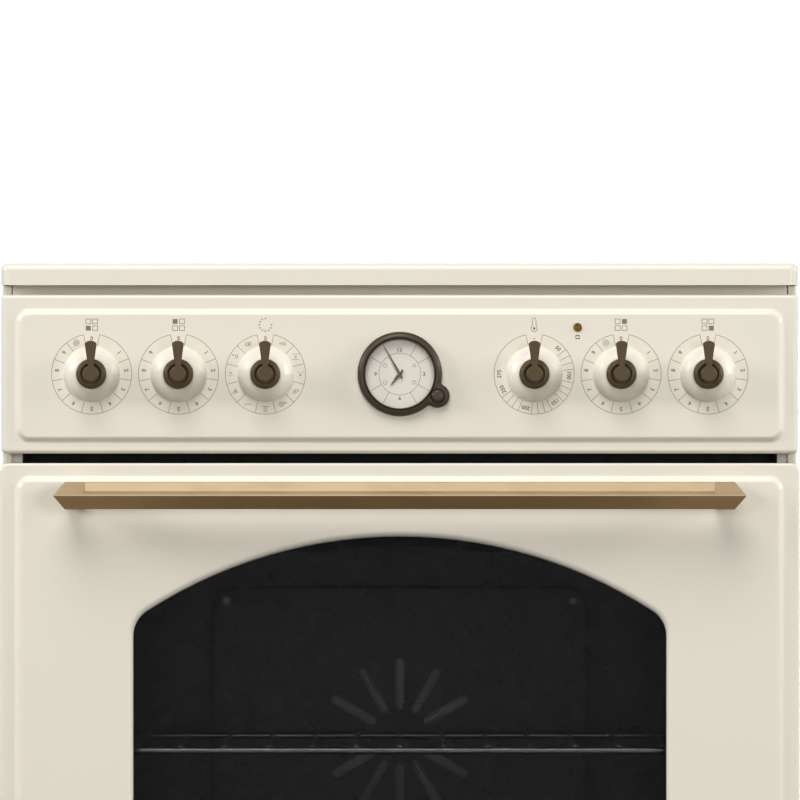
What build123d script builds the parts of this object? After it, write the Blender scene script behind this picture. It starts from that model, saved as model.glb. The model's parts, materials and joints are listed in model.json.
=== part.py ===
"""Freestanding electric cooker, 600 mm wide, with a glass hob, an oven with a drop-down door and a drawer.

Units are millimetres. +Z is up, the front faces -Y, and +X is to the right as seen from the front.
The origin is on the floor, in the middle of the cooker's width and of its depth with the handle.
"""

from build123d import *
from math import cos, radians, sin
import os

# Overall size: the body, and how far the door and the drawer front stand out past its sides
width = 597.8
door_overhang = 1.1
height = 850
body_depth = 600
base_clearance = 40

# Heights of the front, from the top down
worktop_edge = 16
shadow_gap = 7
panel_height = 119.4
door_gap = 7.3
door_height = 455.3
drawer_gap = 6

# Sheet metal
front_sheet = 1.5
body_sheet = 1.2
worktop_overhang = 3
edge_search = 0.01
front_flange = 18
plate_corner = 5
panel_corner = 3.4
panel_edge_round = 3
door_corner = 6.4
door_edge_round = 1.8

# Raised field pressed into the panel, the door and the drawer front
emboss_rise = 2.9
emboss_margin_side = 11.2
emboss_margin = 10
emboss_margin_panel_top = 11.3
emboss_margin_panel_bottom = 8.8
emboss_bevel = 3.3
emboss_corner = 10
emboss_round = 2.8

# Worktop frame and glass hob
worktop_corner = 6
worktop_edge_round = 4.8
worktop_skirt = 0.8
rim_side = 22
rim_front = 30
rim_rear = 60
glass_thickness = 4
glass_drop = 0.5
glass_gap = 0.8
glass_corner = 10
glass_edge_chamfer = 0.8
ledge_corner = 1
gasket_thickness = 1
glass_ledge = 10
undertray_seam = 0.8

# Radiant heaters: radius of each zone
large_zone_radius = 105
medium_zone_radius = 90
small_zone_radius = 72.5
heater_wall = 8
heater_height = 26
heater_floor = 14
ribbon_width = 1.4
ribbon_height = 7
ribbon_rings = 4
ribbon_pitch = 15
zone_margin = 23

# Control panel
knob_inner = 100.8
knob_pitch = 65.15
spindle_radius = 3
spindle_hole = 4
running_clearance = 0.05
collar_radius = 21
collar_edge = 1
collar_top_radius = 11.8
collar_height = 10
collar_bulge = 1.3
knob_gap = 0.4
knob_disc_radius = 11.3
knob_disc_height = 6
knob_groove_radius = 8
knob_groove_depth = 3.2
knob_boss_radius = 6
knob_height = 26
knob_bore_depth = 12
pointer_reach = 24.9
pointer_point = 2.2
pointer_tip_width = 8.9
pointer_root_width = 2.6
pointer_thickness = 7
knob_edge_round = 1.1
rail_setback = 10
rail_sheet = 1.5
switch_size = 46
switch_length = 32
selector_size = 52
selector_length = 44
thermostat_size = 44
thermostat_length = 38
switch_bush_radius = 5
switch_bush_length = 6
spindle_engagement = 12

# Clock
clock_radius = 31.7
dial_opening = 25.7
bezel_height = 6.5
bezel_lip = 1.3
bezel_round = 4.6
bezel_bore_round = 0.5
bezel_neck_round = 3
bezel_groove_radius = 27.1
bezel_groove_width = 1.2
bezel_groove_depth = 0.7
dial_seat = 26.7
dial_fit = 0.2
dial_thickness = 0.8
lens_thickness = 1.3
movement_radius = 27.5
movement_depth = 45
clock_hole_fit = 0.5
arbor_radius = 0.8
cannon_radius = 1.3
cannon_bore = 0.9
arbor_hole = 1.7
arbor_depth = 6
hand_thickness = 0.4
hour_hand_level = 1.5
minute_hand_level = 2.6
hour_hand_length = 12.2
hour_hand_width = 2.7
hour_hand_waist = 2.8
minute_hand_length = 25
minute_hand_width = 1.9
minute_hand_waist = 3.4
hand_tail = 3.8
hand_tail_width = 1.7
hand_neck_width = 1.4
hand_hub_radius = 1
hour_hand_angle = 218.9
minute_hand_angle = 330.6
lug_distance = 32.8
lug_angle = -30
lug_radius = 9
lug_height = 6
lug_round = 4
set_knob_radius = 5
set_knob_height = 4
set_knob_round = 2.6
set_knob_fit = 0.6
set_recess_depth = 4
set_travel = 2
set_stem_radius = 1.5
set_stem_fit = 0.1
set_stem_tail = 9

# Indicator lamp
indicator_rise = 35
indicator_radius = 3.2
indicator_fit = 0.1
indicator_proud = 1
indicator_body_radius = 5

# Oven cavity, measured inside
cavity_width = 460
cavity_height = 350
cavity_depth = 410
cavity_sheet = 1.2
cavity_corner = 12
cavity_lift = 60
insulation = 25
insulation_setback = 42
frame_setback = 44
frame_sheet = 1.5
frame_half_width = 284
frame_lap = 20
frame_below_mouth = 20
frame_above_panel = 8
frame_flange = 40
gasket_width = 10
door_seal_gap = 0.3

# Shelf guides, shelf and tray
guide_rod = 3
guide_fit = 0.4
guide_step = 5
guide_first = 60
guide_pitch = 55
guide_levels = 5
guide_front = 35
guide_rear = 60
tray_level = 0
shelf_level = 2
rest_gap = 0.3
shelf_rod = 3
shelf_wire = 2
shelf_wires = 13
shelf_front = 45
shelf_depth = 320
shelf_corner = 20
tray_depth = 24
tray_sheet = 1
tray_rim = 20
tray_corner = 25

# Oven heating and fan
element_radius = 3.5
grill_drop = 20
grill_pitch = 100
grill_front = 60
grill_turn_gap = 70
fan_cover_width = 300
fan_cover_height = 240
fan_cover_depth = 32
fan_cover_corner = 20
fan_cover_sheet = 1.2
fan_slots = 12
fan_slot_inner = 22
fan_slot_outer = 62
fan_slot_width = 7
fan_radius = 70
fan_blades = 12
fan_blade_height = 15
fan_blade_sheet = 1
fan_disc = 1.2
fan_hub_radius = 9
fan_setback = 12
fan_shaft_radius = 4
fan_shaft_hole = 7
fan_shaft_engagement = 30
motor_radius = 36
motor_length = 62
motor_hole_fit = 4
ring_radius = 92
ring_setback = 14
ring_opening = 15
lamp_side = 190
lamp_rise = 128
lamp_radius = 19
lamp_dome = 16
lamp_cap_lip = 4
lamp_cap_round = 11
lamp_holder_length = 44
lamp_hole_fit = 0.5

# Oven door
hinge_setback = 8
hinge_lift = 14
hinge_spread = 250
hinge_pin_radius = 3.5
hinge_pin_length = 24
hinge_ear_radius = 6
hinge_ear_width = 8
hinge_arm_width = 4
hinge_arm_gap = 2
hinge_arm_height = 9
hinge_bracket_depth = 34
hinge_bracket_gap = 2
hinge_riser = 17
liner_setback = 16
liner_sheet = 1.5
liner_half_width = 270
liner_depth = 20
liner_top_margin = 12
liner_opening_half_width = 236
liner_opening_margin = 22
inner_glass_thickness = 4
inner_glass_inset = 2
window_width = 400
window_arch_radius = 350
window_top_drop = 55
window_height = 250
window_corner = 22
window_roll = 4.5
window_lip_width = 8
window_lip_depth = 4
window_glass_thickness = 4
window_glass_lap = 12

# Door handle
handle_length = 517.8
handle_end_cut = 8.5
handle_height = 20.7
handle_depth = 13
handle_gap = 31.6
handle_drop = 23.9
handle_post_length = 15
handle_post_taper = 3
handle_groove_start = 0.06
handle_groove_middle = 0.55
handle_groove_end = 0.86
handle_groove_depth = 1.6

# Drawer
drawer_plate_setback = 12
drawer_box_half_width = 246
drawer_box_depth = 420
drawer_box_drop = 57
drawer_box_lift = 32
drawer_slide_width = 15
runner_sheet = 1.5
runner_guide_height = 8
runner_web_gap = 6

# Side panels, back panel and base
side_flange = 6.5
side_bend = 2.6
side_top_gap = 0.3
post_setback = 26
step_setback = 30
step_gap = 0.3
back_recess = 25
base_sheet = 1.5
foot_inset_side = 50
foot_inset_front = 60
foot_inset_rear = 70
foot_pad_radius = 19
foot_pad_height = 5
foot_top_radius = 12
foot_stud_radius = 5
foot_stud_length = 24
foot_stud_fit = 0.1
foot_bush_radius = 10
foot_bush_height = 18
louvre_length = 70
louvre_height = 5
louvre_pitch_x = 95
louvre_pitch_z = 18
louvre_columns = 5
louvre_rows = 6
louvre_drop = 110
terminal_width = 120
terminal_height = 90
terminal_depth = 22
terminal_side = 170
terminal_lift = 150
terminal_sheet = 2
gland_radius = 7
gland_wall = 3
gland_length = 18

# Places along Y, from the worktop's front edge to the rear
handle_reach = emboss_rise + handle_gap + handle_depth - worktop_overhang
back = (body_depth + handle_reach) / 2
front = back - body_depth
fascia = front + worktop_overhang
field = fascia - emboss_rise
post_front = fascia + post_setback
frame_front = fascia + frame_setback
frame_rear = frame_front + frame_sheet
cavity_rear = frame_rear + cavity_depth
back_plane = back - back_recess

# Places along Z, from the worktop down
worktop_bottom = height - worktop_edge
panel_top = worktop_bottom - shadow_gap
panel_bottom = panel_top - panel_height
control_row = (panel_top + panel_bottom) / 2
door_top = panel_bottom - door_gap
door_bottom = door_top - door_height
drawer_top = door_bottom - drawer_gap
base_top = base_clearance + base_sheet
cavity_bottom = door_bottom + cavity_lift
cavity_top = cavity_bottom + cavity_height
cavity_middle = (cavity_bottom + cavity_top) / 2
frame_bottom = cavity_bottom - frame_below_mouth
glass_bottom = height - glass_drop - glass_thickness
pocket_bottom = glass_bottom - gasket_thickness
worktop_seat = pocket_bottom - front_sheet
undertray_top = glass_bottom - heater_height
hinge_y = fascia + hinge_setback
hinge_z = door_bottom + hinge_lift

# Places along X, from the middle outwards
half_width = width / 2
door_half_width = half_width + door_overhang
side_inner = half_width - body_sheet
post_inner = half_width - side_flange
guide_x = cavity_width / 2 - guide_fit - guide_rod
rail_x = guide_x - guide_step


def facing(y):
    """Plane at depth y whose normal points to the front, with its own x along X and its own y along Z."""
    return Plane(origin=(0, y, 0), x_dir=(1, 0, 0), z_dir=(0, -1, 0))


def block(x0, x1, y0, y1, z0, z1):
    """Rectangular block between two corners."""
    middle = Pos((x0 + x1) / 2, (y0 + y1) / 2, (z0 + z1) / 2)
    return middle * Box(x1 - x0, y1 - y0, z1 - z0)


def slab(outline, y_front, y_rear):
    """Extrudes an outline drawn in X and Z from y_front back to y_rear."""
    return extrude(facing(y_rear) * outline, amount=y_rear - y_front)


def lies(outline, z_low, z_high):
    """Extrudes an outline drawn in X and Y from z_low up to z_high."""
    return extrude(Pos(0, 0, z_low) * outline, amount=z_high - z_low)


def rod(start, end, radius):
    """Round rod between two points."""
    along = Vector(*end) - Vector(*start)
    return Solid.make_cylinder(radius, along.length, Plane(origin=start, z_dir=along))


def on_panel(x, z, shape):
    """Sets a shape, whose own z points out of the panel from 0 at the raised field, at x and z."""
    return facing(field) * Pos(x, z, 0) * shape


def turned(points):
    """Solid of revolution about the local z axis, from (radius, height) points."""
    return revolve(make_face(Plane.XZ * Polyline(*points, close=True)), Axis.Z)


def edges_at(edges, axis, place):
    """Those edges whose middle lies at a place along an axis."""
    return edges.filter_by_position(axis, place - edge_search, place + edge_search)


def upright_rectangle(half_x, z0, z1, corner):
    """Rounded rectangle in X and Z, centred on x 0."""
    return Pos(0, (z0 + z1) / 2) * RectangleRounded(2 * half_x, z1 - z0, corner)


def raised_field(z0, z1, y_base):
    """Raised field whose foot runs from z0 to z1, standing on the plane y_base."""
    foot_x = half_width - emboss_margin_side
    foot = upright_rectangle(foot_x, z0, z1, emboss_corner)
    crown = upright_rectangle(
        foot_x - emboss_bevel, z0 + emboss_bevel, z1 - emboss_bevel, emboss_corner - emboss_bevel
    )
    return loft([facing(y_base) * foot, facing(y_base - emboss_rise) * crown], ruled=True)


def pressed_front(
    half, z0, z1, flange, corner, edge_round, margin_low=emboss_margin, margin_high=emboss_margin
):
    """Pressed sheet front with a raised field and flanges turned back, open to the rear."""
    rear = fascia + flange
    foot_z0 = z0 + margin_low
    foot_z1 = z1 - margin_high
    skin = slab(upright_rectangle(half, z0, z1, corner), fascia, rear)
    skin = fillet(skin.faces().sort_by(Axis.Y)[0].edges(), edge_round)
    hollow = upright_rectangle(
        half - front_sheet, z0 + front_sheet, z1 - front_sheet, corner - front_sheet
    )
    inside = slab(hollow, fascia + front_sheet, rear) + raised_field(foot_z0, foot_z1, fascia + front_sheet)
    return soften_field(skin + raised_field(foot_z0, foot_z1, fascia), foot_z0, foot_z1) - inside


def soften_field(skin, z0, z1):
    """Rounds the raised field's crown and foot, as a press leaves them."""
    crown = skin.edges().filter_by_position(Axis.Y, field, field)
    foot = skin.edges().filter_by_position(Axis.Y, fascia, fascia)
    foot = foot.filter_by_position(Axis.Z, z0, z1)
    foot = foot.filter_by_position(Axis.X, emboss_margin_side - half_width, half_width - emboss_margin_side)
    return fillet(crown + foot, emboss_round)


def fitted_plate(half, z0, z1, corner, y_front, sheet):
    """Plate that fits between the flanges of a pressed front."""
    outline = upright_rectangle(
        half - front_sheet, z0 + front_sheet, z1 - front_sheet, corner - front_sheet
    )
    return slab(outline, y_front, y_front + sheet)


# Worktop and hob

glass_half_width = half_width - rim_side - glass_gap
glass_front = front + rim_front + glass_gap
glass_rear = back - rim_rear - glass_gap
glass_middle = (glass_front + glass_rear) / 2
glass_length = glass_rear - glass_front


def glass_outline(grow):
    """Outline of the hob glass, grown all round."""
    corner = glass_corner + max(grow, ledge_corner - glass_corner)
    outline = RectangleRounded(2 * (glass_half_width + grow), glass_length + 2 * grow, corner)
    return Pos(0, glass_middle) * outline


def worktop_outline(shrink):
    """Outline of the worktop in plan, shrunk all round."""
    return Pos(0, (front + back) / 2) * RectangleRounded(
        width - 2 * shrink, body_depth - 2 * shrink, worktop_corner - shrink
    )


def worktop_frame():
    """Enamelled pressed frame: a turned-down edge and a ledge for the glass."""
    frame = lies(worktop_outline(0), worktop_bottom, height)
    frame = fillet(frame.faces().sort_by(Axis.Z)[-1].edges(), worktop_edge_round)
    frame -= lies(glass_outline(glass_gap), pocket_bottom, height)
    frame -= lies(glass_outline(-glass_ledge), worktop_bottom, height)
    frame -= lies(worktop_outline(worktop_skirt), worktop_bottom, worktop_seat)
    under_rim = worktop_outline(worktop_edge_round) - glass_outline(glass_gap + front_sheet)
    return frame - lies(under_rim, worktop_seat, height - front_sheet)


def hob_glass():
    glass = lies(glass_outline(0), glass_bottom, glass_bottom + glass_thickness)
    return chamfer(glass.faces().sort_by(Axis.Z)[-1].edges(), glass_edge_chamfer)


def hob_gasket():
    return lies(glass_outline(0) - glass_outline(-glass_ledge), pocket_bottom, glass_bottom)


zone_border = zone_margin + heater_wall
zone_column = glass_half_width - zone_border - large_zone_radius
zones = {
    "front_left": (-zone_column, glass_front + zone_border + large_zone_radius, large_zone_radius),
    "rear_left": (-zone_column, glass_rear - zone_border - small_zone_radius, small_zone_radius),
    "rear_right": (zone_column, glass_rear - zone_border - medium_zone_radius, medium_zone_radius),
    "front_right": (zone_column, glass_front + zone_border + small_zone_radius, small_zone_radius),
}


def heater_dish(x, y, radius):
    """Insulated dish pressed up against the glass."""
    dish = lies(Circle(radius + heater_wall), undertray_top, glass_bottom)
    hollow = lies(Circle(radius), undertray_top + heater_floor, glass_bottom)
    return Pos(x, y) * (dish - hollow)


def heater_ribbon(x, y, radius):
    """Upright ribbon laid in rings, each open at one side and linked to the next."""
    outline = Sketch()
    for ring in range(ribbon_rings):
        ring_radius_here = radius - heater_wall - ring * ribbon_pitch
        circle = Circle(ring_radius_here + ribbon_width / 2) - Circle(ring_radius_here - ribbon_width / 2)
        outline += circle - Pos(ring_radius_here, 0) * Rectangle(3 * ribbon_width, 3 * ribbon_width)
    links = ribbon_pitch * (ribbon_rings - 1)
    outline += Pos(heater_wall + links / 2 - radius, 0) * Rectangle(links, ribbon_width)
    floor = undertray_top + heater_floor
    return Pos(x, y) * lies(outline, floor, floor + ribbon_height)


def hob_undertray():
    """Tray under the heaters, with the front wall that shows below the worktop."""
    bottom = undertray_top - body_sheet
    tray = block(-post_inner, post_inner, post_front, back_plane - body_sheet, bottom, undertray_top)
    wall_x = post_inner - undertray_seam
    return tray + block(-wall_x, wall_x, post_front, post_front + body_sheet, bottom, worktop_seat)


# Control panel

knob_places = {
    "front_left": -(knob_inner + 2 * knob_pitch),
    "rear_left": -(knob_inner + knob_pitch),
    "function": -knob_inner,
    "thermostat": knob_inner,
    "rear_right": knob_inner + knob_pitch,
    "front_right": knob_inner + 2 * knob_pitch,
}
indicator_x = knob_inner + knob_pitch / 2
lug_x = lug_distance * cos(radians(lug_angle))
lug_z = lug_distance * sin(radians(lug_angle))
panel_inside = -front_sheet
rail_front = -(emboss_rise + rail_setback)
rail_back = rail_front - rail_sheet


def bore(radius, low, high):
    """Round cutter on the local z axis."""
    return Pos(0, 0, low) * Cylinder(radius, high - low, align=(Align.CENTER, Align.CENTER, Align.MIN))


def control_panel():
    panel = pressed_front(
        half_width, panel_bottom, panel_top, post_setback, panel_corner, panel_edge_round,
        emboss_margin_panel_bottom, emboss_margin_panel_top,
    )
    for x in knob_places.values():
        panel -= on_panel(x, control_row, bore(spindle_hole, 2 * panel_inside, front_sheet))
    panel -= on_panel(0, control_row, bore(movement_radius + clock_hole_fit, 2 * panel_inside, front_sheet))
    stem_hole = bore(set_stem_radius + set_stem_fit, 2 * panel_inside, front_sheet)
    panel -= on_panel(lug_x, control_row + lug_z, stem_hole)
    indicator_hole = bore(indicator_radius + indicator_fit, 2 * panel_inside, front_sheet)
    return panel - on_panel(indicator_x, control_row + indicator_rise, indicator_hole)


def switch_rail():
    """Plate behind the panel that carries the switches."""
    rail = fitted_plate(half_width, panel_bottom, panel_top, panel_corner, fascia + rail_setback, rail_sheet)
    low = rail_back - rail_sheet
    high = rail_front + rail_sheet
    for x in knob_places.values():
        rail -= on_panel(x, control_row, bore(switch_bush_radius, low, high))
    return rail - on_panel(0, control_row, bore(movement_radius + clock_hole_fit, low, high))


def knob_collar():
    """Domed cone under a knob."""
    base = Polyline((spindle_hole, 0), (collar_radius, 0), (collar_radius, collar_edge))
    flank = SagittaArc((collar_radius, collar_edge), (collar_top_radius, collar_height), -collar_bulge)
    top = Polyline((collar_top_radius, collar_height), (spindle_hole, collar_height), (spindle_hole, 0))
    return revolve(Plane.XZ * make_face([base, flank, top]), Axis.Z)


def pointer_outline():
    """Outline of the pointer, flaring from the boss to a blunt point."""
    shoulder = pointer_reach - pointer_point
    half_tip = pointer_tip_width / 2
    half_root = pointer_root_width / 2
    right = Polyline((half_root, 0), (half_tip, shoulder))
    tip = ThreePointArc((half_tip, shoulder), (0, pointer_reach), (-half_tip, shoulder))
    left = Polyline((-half_tip, shoulder), (-half_root, 0), (half_root, 0))
    return make_face([right, tip, left])


def knob():
    """Round knob with a groove, a raised boss and a pointer."""
    low = collar_height + knob_gap
    disc_top = low + knob_disc_height
    disc = bore(knob_disc_radius, low, disc_top)
    disc = fillet(disc.edges().sort_by(Axis.Z)[-1], knob_disc_radius - knob_groove_radius)
    disc -= bore(knob_groove_radius, disc_top - knob_groove_depth, disc_top)
    boss = bore(knob_boss_radius, low, knob_height)
    pointer_low = Pos(0, 0, knob_height - pointer_thickness) * pointer_outline()
    grip = boss + extrude(pointer_low, amount=pointer_thickness)
    grip = fillet(grip.edges().filter_by_position(Axis.Z, knob_height, knob_height), knob_edge_round)
    spindle_socket = bore(spindle_radius + running_clearance, low, low + knob_bore_depth)
    return disc + grip - spindle_socket


def spindle():
    """Steel spindle from the switch to the knob."""
    return bore(spindle_radius, rail_back - spindle_engagement, collar_height + knob_gap + knob_bore_depth)


def switch(size, length):
    """Rotary switch behind the rail, with a bush in the rail's hole."""
    body = Pos(0, 0, rail_back) * Box(size, size, length, align=(Align.CENTER, Align.CENTER, Align.MAX))
    body += bore(switch_bush_radius - running_clearance, rail_back, rail_back + switch_bush_length)
    return body - bore(
        spindle_radius + running_clearance, rail_back - spindle_engagement, rail_back + switch_bush_length
    )


# Clock

def clock_bezel():
    """Ring that holds the lens, with a lug for the setting knob."""
    ring = bore(clock_radius, 0, bezel_height)
    ring = fillet(ring.edges().sort_by(Axis.Z)[-1], bezel_round)
    lug_seat = Pos(lug_x, lug_z)
    outline = Circle(clock_radius) + lug_seat * Circle(lug_radius)
    lug = extrude(outline, amount=lug_height)
    lug = fillet(lug.edges().filter_by(Axis.Z), bezel_neck_round)
    lug = fillet(lug.faces().sort_by(Axis.Z)[-1].edges(), lug_round)
    bezel = ring + lug - bore(dial_opening, 0, bezel_height)
    rims = bezel.edges().filter_by_position(Axis.Z, bezel_height, bezel_height)
    bezel = fillet(rims.sort_by(SortBy.RADIUS)[0], bezel_bore_round)
    inner_flank = (bezel_groove_radius - bezel_groove_width / 2, bezel_height)
    outer_flank = (bezel_groove_radius + bezel_groove_width / 2, bezel_height)
    bezel -= turned([
        inner_flank, (bezel_groove_radius, bezel_height - bezel_groove_depth),
        outer_flank, (bezel_groove_radius, bezel_height + bezel_groove_depth),
    ])
    bezel -= bore(dial_seat, 0, bezel_height - bezel_lip)
    bezel -= lug_seat * bore(set_knob_radius + set_knob_fit, lug_height - set_recess_depth, bezel_height)
    return bezel - lug_seat * bore(set_stem_radius + set_stem_fit, 0, lug_height)


def clock_dial():
    return bore(dial_seat - dial_fit, 0, dial_thickness) - bore(arbor_hole, 0, dial_thickness)


def clock_lens():
    top = bezel_height - bezel_lip
    return bore(dial_seat - dial_fit, top - lens_thickness, top)


def clock_movement():
    return bore(movement_radius, -movement_depth, 0) - bore(arbor_hole, -arbor_depth, 0)


def clock_hand(length, wide, waist, level, angle):
    """Tapered hand with a flared tail, pointing clockwise from twelve by the angle."""
    shoulder = (wide / 2, waist)
    neck = (hand_neck_width / 2, 0)
    tail = (hand_tail_width / 2, -hand_tail)
    right = [shoulder, neck, tail]
    left = [(-x, y) for x, y in reversed(right)]
    outline = make_face(Polyline((0, length), *right, *left, close=True))
    return Rot(0, 0, -angle) * extrude(Pos(0, 0, level) * outline, amount=hand_thickness)


def clock_hour_hand():
    hand = clock_hand(hour_hand_length, hour_hand_width, hour_hand_waist, hour_hand_level, hour_hand_angle)
    hand += bore(cannon_radius, -arbor_depth, hour_hand_level + hand_thickness)
    return hand - bore(cannon_bore, -arbor_depth, hour_hand_level + hand_thickness)


def clock_minute_hand():
    hand = clock_hand(
        minute_hand_length, minute_hand_width, minute_hand_waist, minute_hand_level, minute_hand_angle
    )
    hand += bore(hand_hub_radius, minute_hand_level, minute_hand_level + 2 * hand_thickness)
    return hand + bore(arbor_radius, -arbor_depth, minute_hand_level)


def clock_set_stem():
    """Push stem through the lug and the panel."""
    cap_bottom = lug_height - set_recess_depth + set_travel + set_stem_fit
    return bore(set_stem_radius, -set_stem_tail, cap_bottom + set_knob_height / 2)


def clock_set_knob():
    """Button that turns on the stem."""
    cap_bottom = lug_height - set_recess_depth + set_travel + set_stem_fit
    cap = bore(set_knob_radius, cap_bottom, cap_bottom + set_knob_height)
    cap = fillet(cap.edges().sort_by(Axis.Z)[-1], set_knob_round)
    return cap - bore(set_stem_radius + running_clearance, cap_bottom, cap_bottom + set_knob_height / 2)


def indicator_lamp():
    lens = bore(indicator_radius, panel_inside, indicator_proud)
    lens = fillet(lens.edges().sort_by(Axis.Z)[-1], indicator_proud / 2)
    return lens + bore(indicator_body_radius, rail_front, panel_inside)


# Oven

def mouth_outline(grow):
    """Outline of the oven's mouth, grown all round."""
    return upright_rectangle(
        cavity_width / 2 + grow, cavity_bottom - grow, cavity_top + grow, cavity_corner + grow
    )


def on_rear_wall(x, z, shape):
    """Sets a shape, whose own z points to the front from 0 at the cavity's rear wall, at x and z."""
    return facing(cavity_rear) * Pos(x, z, 0) * shape


def oven_cavity():
    """Enamelled muffle, open to the front."""
    muffle = slab(mouth_outline(cavity_sheet), frame_rear, cavity_rear + cavity_sheet)
    muffle -= slab(mouth_outline(0), frame_rear, cavity_rear)
    muffle -= on_rear_wall(0, cavity_middle, bore(fan_shaft_hole, -2 * cavity_sheet, cavity_sheet))
    lamp_hole = bore(lamp_radius, -2 * cavity_sheet, cavity_sheet)
    return muffle - on_rear_wall(-lamp_side, cavity_middle + lamp_rise, lamp_hole)


def oven_front_frame():
    """Black plate round the mouth, with its sides turned forward and a flange that carries the hinges."""
    top = panel_bottom + frame_above_panel
    outline = upright_rectangle(frame_half_width, frame_bottom, top, plate_corner)
    plate = slab(outline, frame_front, frame_rear)
    flange = block(
        frame_lap - frame_half_width, frame_half_width - frame_lap,
        frame_front, frame_rear + frame_flange, frame_bottom, frame_bottom + frame_sheet,
    )
    frame = plate + flange - slab(mouth_outline(0), frame_front, frame_rear)
    for edge in (-frame_half_width, frame_half_width - frame_sheet):
        frame += block(
            edge, edge + frame_sheet, fascia + step_setback, frame_front,
            frame_bottom + plate_corner, top - plate_corner,
        )
    return frame


def oven_insulation():
    """Mineral wool wrapped round the muffle, with holes for the fan motor and the lamp."""
    start = frame_rear + insulation_setback
    wool = slab(mouth_outline(cavity_sheet + insulation), start, cavity_rear + cavity_sheet + insulation)
    wool -= slab(mouth_outline(cavity_sheet), start, cavity_rear + cavity_sheet)
    depth = -2 * insulation
    wool -= on_rear_wall(0, cavity_middle, bore(motor_radius + motor_hole_fit, depth, 0))
    lamp_hole = bore(lamp_radius + motor_hole_fit, depth, 0)
    return wool - on_rear_wall(-lamp_side, cavity_middle + lamp_rise, lamp_hole)


def door_gasket():
    """Seal round the mouth, on the front frame."""
    ring = mouth_outline(gasket_width) - mouth_outline(0)
    door_rear = fascia + liner_setback + liner_depth + inner_glass_thickness
    return slab(ring, door_rear + door_seal_gap, frame_front)


guide_y0 = frame_rear + guide_front
guide_y1 = cavity_rear - guide_rear


def guide_height(level):
    return cavity_bottom + guide_first + level * guide_pitch


def shelf_guide(side):
    """Wire ladder on one side wall."""
    ends = [guide_y0 + 2 * guide_rod, guide_y1 - 2 * guide_rod]
    low = guide_height(0) - guide_pitch / 2
    high = guide_height(guide_levels - 1) + guide_pitch / 2
    ladder = Part() + [rod((side * guide_x, y, low), (side * guide_x, y, high), guide_rod) for y in ends]
    for level in range(guide_levels):
        z = guide_height(level)
        ladder += rod((side * rail_x, guide_y0, z), (side * rail_x, guide_y1, z), guide_rod)
    return ladder


def wire_shelf():
    """Wire shelf: a bent frame with wires welded across it."""
    z = guide_height(shelf_level) + guide_rod + rest_gap + shelf_rod
    y0 = frame_rear + shelf_front
    half = rail_x - shelf_rod / 2
    corners = [(-half, y0, z), (half, y0, z), (half, y0 + shelf_depth, z), (-half, y0 + shelf_depth, z)]
    path = FilletPolyline(*corners, radius=shelf_corner, close=True)
    section = Plane(origin=path @ 0, z_dir=path % 0) * Circle(shelf_rod)
    shelf = sweep(section, path=path)
    pitch = 2 * (half - shelf_corner) / (shelf_wires - 1)
    for n in range(shelf_wires):
        x = -half + shelf_corner + n * pitch
        shelf += rod((x, y0, z + shelf_wire), (x, y0 + shelf_depth, z + shelf_wire), shelf_wire)
    return shelf


def baking_tray():
    """Pressed tray whose rim slides on the guides."""
    z = guide_height(tray_level) + guide_rod + rest_gap
    half = guide_x - guide_rod - rest_gap
    centre = Pos(0, frame_rear + shelf_front + shelf_depth / 2)
    rim = centre * RectangleRounded(2 * half, shelf_depth, tray_corner)
    pan = centre * RectangleRounded(2 * half - 2 * tray_rim, shelf_depth - 2 * tray_rim, tray_corner)
    inner = offset(pan, -tray_sheet)
    tray = lies(rim, z, z + tray_sheet) + lies(pan, z - tray_depth, z + tray_sheet)
    return tray - lies(inner, z - tray_depth + tray_sheet, z + tray_sheet)


def grill_element():
    """Tubular heater under the roof, bent to and fro, with its ends in the rear wall."""
    z = cavity_top - grill_drop
    near = frame_rear + grill_front + grill_pitch / 2
    far = cavity_rear - grill_turn_gap - grill_pitch / 2
    legs = [(n - 1.5) * grill_pitch for n in range(4)]
    start = Line((legs[0], cavity_rear, z), (legs[0], near, z))
    first_turn = ThreePointArc(start @ 1, (-grill_pitch, near - grill_pitch / 2, z), (legs[1], near, z))
    second = Line(first_turn @ 1, (legs[1], far, z))
    middle_turn = ThreePointArc(second @ 1, (0, far + grill_pitch / 2, z), (legs[2], far, z))
    third = Line(middle_turn @ 1, (legs[2], near, z))
    last_turn = ThreePointArc(third @ 1, (grill_pitch, near - grill_pitch / 2, z), (legs[3], near, z))
    end = Line(last_turn @ 1, (legs[3], cavity_rear, z))
    path = Wire([start, first_turn, second, middle_turn, third, last_turn, end])
    return sweep(Plane(origin=path @ 0, z_dir=path % 0) * Circle(element_radius), path=path)


def ring_element():
    """Ring heater round the fan, with two legs to the rear wall."""
    section = Pos(ring_radius, 0, ring_setback) * Rot(90, 0, 0) * Circle(element_radius)
    ring = Rot(0, 0, 90 + ring_opening) * revolve(section, Axis.Z, 360 - 2 * ring_opening)
    for side in (-1, 1):
        x = side * ring_radius * sin(radians(ring_opening))
        y = ring_radius * cos(radians(ring_opening))
        ring += Pos(x, y) * bore(element_radius, 0, ring_setback)
    return on_rear_wall(0, cavity_middle, ring)


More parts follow.
